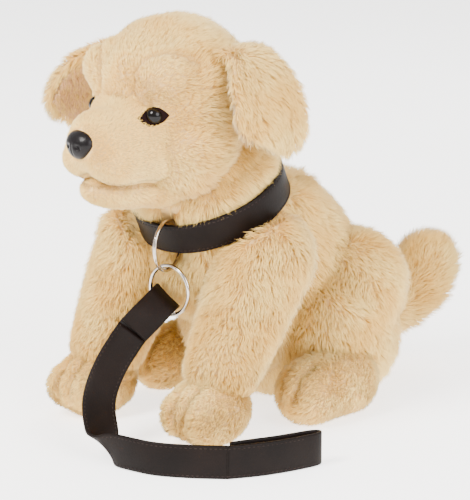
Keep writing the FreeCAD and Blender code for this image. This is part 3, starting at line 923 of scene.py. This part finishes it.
def build_pile():
    torso, skull, muzzle, chin = (tree_of(o) for o in (TORSO, SKULL, MUZZLE, CHIN))
    limbs = {}
    for name in ("left", "right"):
        for label, group in (("leg", FRONT), ("paw", PAW), ("thigh", HAUNCH), ("foot", HIND)):
            limbs[label + name] = tree_of(group[name])
    # The face seams: shorter pile and painted shade along them.
    face_lines = [(in_head(line), 0.45, 2.0) for line in (BROW, FAR_BROW, STOP)]
    mouth = in_head(MOUTH)
    grow("torso_pile", TORSO, 1.35, torso_length, down_back, *LONG, "dog", 21,
         keep=off_collar, clear_of=[skull] + list(limbs.values()))
    grow("head_pile", SKULL, 1.9, head_length, from_nose, *LONG, "dog", 22,
         keep=off_eyes, clear_of=[muzzle, chin, torso], lines=face_lines,
         lean=0.95, stray=0.2, width=0.22, tuft=30, pull=0.4)
    grow("muzzle_pile", MUZZLE, 3.2, 2.6, from_nose, *SHORT, "dog", 23,
         keep=lambda p: off_nose(p) & off_eyes(p), clear_of=[skull, chin], lines=[(mouth, 0.3, 1.2)],
         lean=1.0, stray=0.15, width=0.22, pull=0.2, depth=1.0)
    grow("chin_pile", CHIN, 2.6, 3.0, from_nose, *SHORT, "dog", 24,
         clear_of=[skull, muzzle], lines=[(mouth, 0.3, 1.4)],
         lean=1.0, stray=0.2, width=0.22, pull=0.3, depth=1.0)
    for name in ("left", "right"):
        # Toe seams: shorter pile and painted shade along them.
        paw_lines = [(line, 0.4, 2.0) for line, _, _ in paw_creases(name)]
        foot_lines = [(line, 0.4, 2.0) for line, _, _ in foot_creases(name)]
        grow("front_leg_pile_" + name, FRONT[name], 1.45, leg_length, (0, -0.1, -1), *LONG,
             "dog", 25, clear_of=[torso, limbs["paw" + name]])
        grow("front_paw_pile_" + name, PAW[name], 2.0, 4.4, (0, -0.8, -0.3), *SHORT,
             "dog", 26, keep=off_floor, clear_of=[limbs["leg" + name]], lines=paw_lines, width=0.24)
        grow("thigh_pile_" + name, HAUNCH[name], 1.35, 10.0, (0, 0.3, -1), *LONG,
             "dog", 27, keep=off_floor, clear_of=[torso, limbs["foot" + name]])
        grow("hind_foot_pile_" + name, HIND[name], 1.9, 5.2, (0, -0.8, -0.25), *SHORT,
             "dog", 28, keep=off_floor, clear_of=[limbs["thigh" + name], torso], lines=foot_lines,
             width=0.24)
    grow("tail_pile", TAIL, 1.6, 13.0, along_tail, *LONG, "tail", 29,
         clear_of=[torso], lean=0.7, stray=0.3)


def build_ears():
    skull = tree_of(SKULL)
    for name in ("left", "right"):
        body = "ear_" + name
        outer = ear_layer(name, body + "_back", -1.0, 4.0)
        lining = ear_layer(name, body + "_front", -3.8, -1.6, 2.0)
        stuffed(outer, body, [body + "_outer"])
        stuffed(lining, body, [body + "_lining"])
        outer_tree, lining_tree = tree_of(outer), tree_of(lining)
        grow(body + "_pile", outer, 1.7, 8.5, ear_flow, *LONG, body, 31,
             clear_of=[lining_tree, skull], lean=1.0, stray=0.24, depth=0.3)
        grow(body + "_lining_pile", lining, 2.2, 3.4, ear_flow, *LINING, body, 32,
             clear_of=[outer_tree, skull], lean=1.0, stray=0.2, width=0.22, depth=0.2)


# Straps ------------
STRAP_ROUTE = [  # the strap's route in part.py: places, and the way across the strap
    ((0, -140, 64), (0.64, 0.43, -0.64)),
    ((1, -153, 53.5), (0.70, 0.45, -0.55)),
    ((2.5, -164, 42), (0.76, 0.50, -0.40)),
    ((6, -173, 31), (0.80, 0.55, -0.25)),
    ((13, -179.5, 23), (0.75, 0.62, -0.15)),
    ((22, -185, 16), (0.70, 0.70, -0.15)),
    ((29.5, -190.5, 9.5), (-0.05, 0.76, -0.65)),
    ((40, -192, 10.2), (0, 0, -1)),
    ((54, -191, 10.6), (0, 0, -1)),
    ((68, -187.5, 10.2), (0, 0, -1)),
    ((81, -180, 10.2), (0, 0, -1)),
    ((93, -171, 10.2), (0, 0, -1)),
    ((104, -161, 10.2), (0, 0, -1)),
]
HANDLE_ROUTE = [  # the hand loop stands on the floor on its edge
    (103.2, -162.0), (111, -149), (117, -134), (121, -119), (123.5, -106),
    (120.5, -101.5), (116.5, -106), (113, -119), (109, -132), (103, -145.5), (99.8, -155.5),
]


def spline(points, name):
    """Places in mm along the smooth NURBS line of these points."""
    curve = bpy.data.curves.new(name, "CURVE")
    curve.dimensions = "3D"
    curve.resolution_u = 12
    line = curve.splines.new("NURBS")
    line.points.add(len(points) - 1)
    for spot, place in zip(line.points, points):
        spot.co = (*(np.asarray(place, float) * MM), 1)
    line.order_u = 3
    line.use_endpoint_u = True
    obj = add_object(name, curve)
    graph = bpy.context.evaluated_depsgraph_get()
    mesh = bpy.data.meshes.new_from_object(obj.evaluated_get(graph))
    places = read(mesh, "co") / MM
    bpy.data.objects.remove(obj)
    bpy.data.curves.remove(curve)
    bpy.data.meshes.remove(mesh)
    return places


def strap_frames(route, name):
    """Along a strap: its middle, the way across and the way that its outer face looks."""
    middle = spline([p for p, _ in route], name)
    beside = spline([np.asarray(p, float) + unit(a) * 5.0 for p, a in route], name)
    along = unit(np.gradient(middle, axis=0))
    across = beside - middle
    across = unit(across - along * np.sum(across * along, axis=1, keepdims=True))
    return middle, across, np.cross(along, across)


SECTION = [  # a strap's rounded section, in half widths and half thicknesses
    (-1.0, -0.45), (-0.97, -0.85), (-0.9, -1.0), (0.9, -1.0), (0.97, -0.85), (1.0, -0.45),
    (1.0, 0.45), (0.97, 0.85), (0.9, 1.0), (0.45, 1.0), (-0.45, 1.0), (-0.9, 1.0), (-0.97, 0.85),
    (-1.0, 0.45),
]
SEAM_IN = 1.8             # stitches run this far in from a strap's edge
STITCH_STEP = 2.9


def strap_mesh(name, frames):
    """A strap of leather along its frames."""
    middle, across, face = frames
    count = len(SECTION)
    points = []
    for m, a, f in zip(middle, across, face):
        points += [m + a * (s * STRAP_WIDTH / 2) + f * (t * STRAP_THICKNESS / 2) for s, t in SECTION]
    faces = grid_faces(len(middle), count, ring_columns=True)
    faces.append(tuple(range(count))[::-1])
    last = (len(middle) - 1) * count
    faces.append(tuple(range(last, last + count)))
    obj = mesh_from(name, points, faces)
    fix_normals(obj)
    paint(obj, LEATHER)
    return obj


def fix_normals(obj):
    """Turns every face of a closed mesh outward."""
    shape = bmesh.new()
    shape.from_mesh(obj.data)
    bmesh.ops.recalc_face_normals(shape, faces=shape.faces)
    shape.to_mesh(obj.data)
    shape.free()


def stitch_points(frames, offset, side, last=1.0):
    """Places and ways of evenly spaced stitches along a strap, offset from its middle."""
    middle, across, face = frames
    line = middle + across * offset + face * (side * STRAP_THICKNESS / 2)
    knots = np.concatenate([[0], np.cumsum(np.linalg.norm(np.diff(line, axis=0), axis=1))])
    marks = np.arange(STITCH_STEP / 2, knots[-1] * last, STITCH_STEP)
    places = np.stack([np.interp(marks, knots, line[:, k]) for k in range(3)], axis=1)
    later = np.stack([np.interp(marks + 0.5, knots, line[:, k]) for k in range(3)], axis=1)
    outs = np.stack([np.interp(marks, knots, face[:, k]) for k in range(3)], axis=1) * side
    return list(zip(places, unit(later - places), unit(outs)))


def thread_mesh(name, stitches, length=2.0, radius=0.28):
    """Short stitches of thread, each a small rounded bead drawn out along its seam."""
    shape = bmesh.new()
    for place, along, out in stitches:
        side = np.cross(out, along)
        turn = Matrix((along, side, out)).transposed().to_4x4()
        size = Matrix.Diagonal((length / 2, radius * 1.4, radius, 1))
        where = Matrix.Scale(MM, 4) @ Matrix.Translation(Vector(place)) @ turn @ size
        bmesh.ops.create_icosphere(shape, subdivisions=1, radius=1, matrix=where)
    mesh = bpy.data.meshes.new(name)
    shape.to_mesh(mesh)
    shape.free()
    mesh.shade_smooth()
    obj = add_object(name, mesh)
    paint(obj, THREAD)
    return obj


LOOP_APEX = np.array([0.0, -118.4, 76.6])
LOOP_STITCH_GAP = 0.1      # from the strap's end
LOOP_REACH = 7.1           # how far the loop's two sides stand off its middle


def loop_route():
    """The ring loop's route: from the stitch up one side, round the ring and back."""
    start, first = (np.array(place, float) for place, _ in STRAP_ROUTE[:2])
    across = unit((0.64, 0.43, -0.64))
    face = unit(np.cross(unit(start - first), across))
    rise = unit(LOOP_APEX - start)
    out = unit(face - rise * (face @ rise))
    reach, half = LOOP_REACH, (LOOP_APEX - start) * 0.5
    tilt = (0.77, 0.2, -0.6)
    places = [
        start + rise * LOOP_STITCH_GAP,
        start + half * 0.6 + out * reach * 0.55,
        LOOP_APEX - rise * 6 + out * reach,
        LOOP_APEX + rise * 2 + out * reach,
        LOOP_APEX + rise * (reach + 1.5) + out * reach * 0.15,
        LOOP_APEX + rise * (reach + 1.5) - out * reach * 0.15,
        LOOP_APEX + rise * 2 - out * reach,
        LOOP_APEX - rise * 6 - out * reach,
        start + half * 0.6 - out * reach * 0.75,
        start - out * (STRAP_THICKNESS + 0.3) + rise * LOOP_STITCH_GAP,
    ]
    ways = [across, across] + [tilt] * 6 + [across, across]
    return list(zip(places, ways))


def build_leash():
    route = [(np.array(p, float), a) for p, a in STRAP_ROUTE]
    frames = strap_frames(route, "strap_line")
    strap = strap_mesh("leash_strap_leather", frames)
    loop_frames = strap_frames(loop_route(), "loop_line")
    loop = strap_mesh("leash_ring_loop_leather", loop_frames)
    hand = [((x, y, STRAP_WIDTH / 2 + 0.2), (0, 0, -1)) for x, y in HANDLE_ROUTE]
    hand_frames = strap_frames(hand, "hand_line")
    handle = strap_mesh("leash_handle_leather", hand_frames)
    stitches = []
    seam = STRAP_WIDTH / 2 - SEAM_IN
    for offset in (-seam, seam):
        for side in (-1, 1):
            stitches += stitch_points(frames, offset, side)
            stitches += stitch_points(loop_frames, offset, side, 0.3)
            stitches += stitch_points(hand_frames, offset, side, 0.4)
    thread = thread_mesh("leash_stitches", stitches)
    for obj in (strap, loop, handle, thread):
        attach(obj, "leash")
    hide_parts("leash_strap")
    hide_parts("leash_ring_loop")
    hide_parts("leash_handle")


COLLAR_RADIUS, COLLAR_THICKNESS, COLLAR_HALF = 47.4, 2.3, 9.9      # of the middle; half the width


def collar_frame():
    """The ways right and back in the collar's plane."""
    right = np.array([1.0, 0.0, 0.0])
    return right, np.cross(COLLAR_AXIS, right)


def build_collar():
    """The collar: a soft-edged leather band, stitched near both edges."""
    right, back = collar_frame()
    turns = np.linspace(0, 2 * math.pi, 145)[:-1]
    points = []
    for turn in turns:
        out = right * math.cos(turn) + back * math.sin(turn)
        wave = 0.25 * math.sin(3 * turn + 1) + 0.15 * math.sin(7 * turn)
        for s, t in SECTION:
            spoke = out * (COLLAR_RADIUS + t * COLLAR_THICKNESS / 2)
            points.append(COLLAR_CENTRE + spoke + COLLAR_AXIS * (s * COLLAR_HALF + wave))
    faces = grid_faces(len(turns), len(SECTION), ring_rows=True, ring_columns=True)
    band = mesh_from("collar_leather", points, faces)
    fix_normals(band)
    paint(band, LEATHER)
    stitches = []
    face = COLLAR_RADIUS + COLLAR_THICKNESS / 2 + 0.05
    for height in (-8.0, 8.0):
        for turn in np.arange(0, 2 * math.pi, STITCH_STEP / face):
            out = right * math.cos(turn) + back * math.sin(turn)
            along = -right * math.sin(turn) + back * math.cos(turn)
            stitches.append((COLLAR_CENTRE + out * face + COLLAR_AXIS * height, along, out))
    thread = thread_mesh("collar_stitches", stitches)
    for obj in (band, thread):
        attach(obj, "collar")
    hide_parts("collar_band")


# Face ------------
NOSE_DEEP, NOSE_TALL = 7.4, 9.0      # half sizes
HOLE_DEPTH, GROOVE_DEPTH = 2.4, 0.8


def build_nose():
    """The moulded nose: broad at the top, narrow below, with two nostrils."""
    way = unit((0, -1, 0.25))
    up = unit((0, 0.25, 1))
    shape = bmesh.new()
    bmesh.ops.create_icosphere(shape, subdivisions=6, radius=1)
    mesh = bpy.data.meshes.new("nose_shape")
    shape.to_mesh(mesh)
    shape.free()
    p = read(mesh, "co")
    x, deep, z = p[:, 0], p[:, 1], p[:, 2]
    wide = 11.4 - 2.8 * np.clip(-z, 0, 1) + 0.8 * np.clip(z, 0, 1)
    low = ((z + 0.18 + 0.25 * abs(x)) / 0.13) ** 2
    holes = sum(np.exp(-(((x - s * 0.42) / 0.15) ** 2 + low)) for s in (-1, 1))
    groove = np.exp(-(x / 0.06) ** 2) * np.clip(-z + 0.1, 0, 1)
    front = np.clip(deep, 0, 1)
    reach = deep * NOSE_DEEP - front * (HOLE_DEPTH * holes + GROOVE_DEPTH * groove)
    local = np.stack([x * wide, np.zeros_like(x), np.zeros_like(x)], axis=1)
    local = local + reach[:, None] * way + (z * NOSE_TALL)[:, None] * up
    write(mesh, in_head(local + np.array(NOSE_MIDDLE)) * MM)
    mesh.shade_smooth()
    nose = add_object("nose_shape", mesh)
    fix_normals(nose)
    paint(nose, NOSE)
    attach(nose, "dog")
    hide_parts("nose")


def build_lids():
    """Dark almond lids round the eyes, pointed at both corners and laid on the face."""
    faces_of = [tree_of(SKULL), tree_of(MUZZLE)]
    rows, columns = 31, 11
    for name, side in (("left", 1), ("right", -1)):
        points = []
        for s in np.linspace(-0.98, 0.98, rows):
            for t in np.linspace(-1, 1, columns):
                across = s * EYE_HALF * LID_ROOM
                high = t * EYE_OPEN * LID_ROOM * (1 - s * s) + 0.1 * across
                place = EYE_PLACE + EYE_LEVEL * across + np.array([0, 0, high])
                near = in_head(place * (side, 1, 1))
                far = in_head((place + EYE_OUT * 15) * (side, 1, 1))
                way = unit(near - far)
                hits = [tree.ray_cast(Vector(far) * MM, Vector(way), 0.04) for tree in faces_of]
                hit = min((h for h in hits if h[0] is not None), key=lambda h: h[3])
                points.append(np.array(hit[0]) / MM - way * LID_ABOVE_SKIN)
        lid = mesh_from("eye_lid_" + name, points, grid_faces(rows, columns))
        thick = lid.modifiers.new("thick", "SOLIDIFY")
        thick.thickness = LID_THICKNESS * MM
        thick.offset = 0.0
        settle(lid)
        fix_normals(lid)
        paint(lid, LID)
        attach(lid, "dog")
        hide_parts("eye_rim_" + name)


def leave_ring_room(obj):
    """The leg leaves room for the leash ring as the collar turns."""
    points = read(obj.data, "co") / MM
    for degrees in (3, 6, 9, 12):
        spin = np.array(Matrix.Rotation(math.radians(degrees), 3, Vector(COLLAR_AXIS)))
        middle = COLLAR_CENTRE + spin @ (LEASH_RING_CENTRE - COLLAR_CENTRE)
        high, flat = ring_place(points, middle, spin @ LEASH_RING_NORMAL)
        points[:, 1] += np.clip(RING_ROOM - np.hypot(flat - RING_RADIUS, high), 0, None)
    write(obj.data, points * MM)


# Lights and floor ------------
def area_light(name, place, aim, size, power, colour=(1, 1, 1)):
    data = bpy.data.lights.new(name, "AREA")
    data.shape = "DISK"
    data.size = size
    data.energy = power
    data.color = colour
    lamp = add_object(name, data)
    lamp.location = place
    lamp.rotation_euler = (Vector(aim) - Vector(place)).to_track_quat("-Z", "Y").to_euler()


FLOOR_HALF = 4000


def make_room():
    corners = [(x * FLOOR_HALF, y * FLOOR_HALF, 0) for x, y in ((-1, -1), (1, -1), (1, 1), (-1, 1))]
    floor = mesh_from("floor", corners, [(0, 1, 2, 3)])
    paint(floor, floor_material())
    world = bpy.data.worlds.new("studio")
    world.use_nodes = True
    sky = world.node_tree.nodes["Background"]
    sky.inputs["Color"].default_value = (1.0, 0.985, 0.965, 1)
    sky.inputs["Strength"].default_value = 1.25
    bpy.context.scene.world = world
    area_light("key", (-0.1, -1.3, 1.3), (0, -0.05, 0.1), 0.7, 52.0, (1, 0.98, 0.94))
    area_light("fill", (1.5, -0.2, 0.9), (0, -0.05, 0.1), 1.2, 34.0)
    area_light("back", (-0.6, 1.2, 1.2), (0, -0.05, 0.12), 0.9, 14.0)


def dress_frame():
    """Materials for the CAD pieces that show as they are."""
    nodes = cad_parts
    shown = {"collar_ring": NICKEL, "leash_ring": NICKEL, "eye_left": EYE, "eye_right": EYE}
    for name, material in shown.items():
        paint_node(nodes[name], material)


def paint_node(obj, material):
    for place in obj.material_slots:
        place.material = material
    if not obj.material_slots:
        obj.data.materials.append(material)


make_camera()
leave_ring_room(FRONT["left"])
build_leash()
build_collar()
build_nose()
build_lids()
stuffed(TORSO, "dog", ["torso_plush", "torso_stuffing", "seat_pellet_bag"])
stuffed(SKULL, "dog",
        ["head_plush", "head_stuffing", "eye_washer_left", "eye_washer_right"])
stuffed(MUZZLE, "dog", ["muzzle_plush", "muzzle_stuffing", "nose_washer"])
stuffed(CHIN, "dog", ["chin_plush"])
for side_name in ("left", "right"):
    for group, label, slot_name in (
        (FRONT, "front_leg_", "long_pile"), (PAW, "front_paw_", "short_pile"),
        (HAUNCH, "thigh_", "long_pile"), (HIND, "hind_foot_", "short_pile"),
    ):
        nodes_of = [label + side_name + "_plush", label + side_name + "_stuffing"]
        stuffed(group[side_name], "dog", nodes_of)
stuffed(TAIL, "tail", ["tail_plush", "tail_stuffing"])
build_ears()
build_pile()
dress_frame()
make_room()
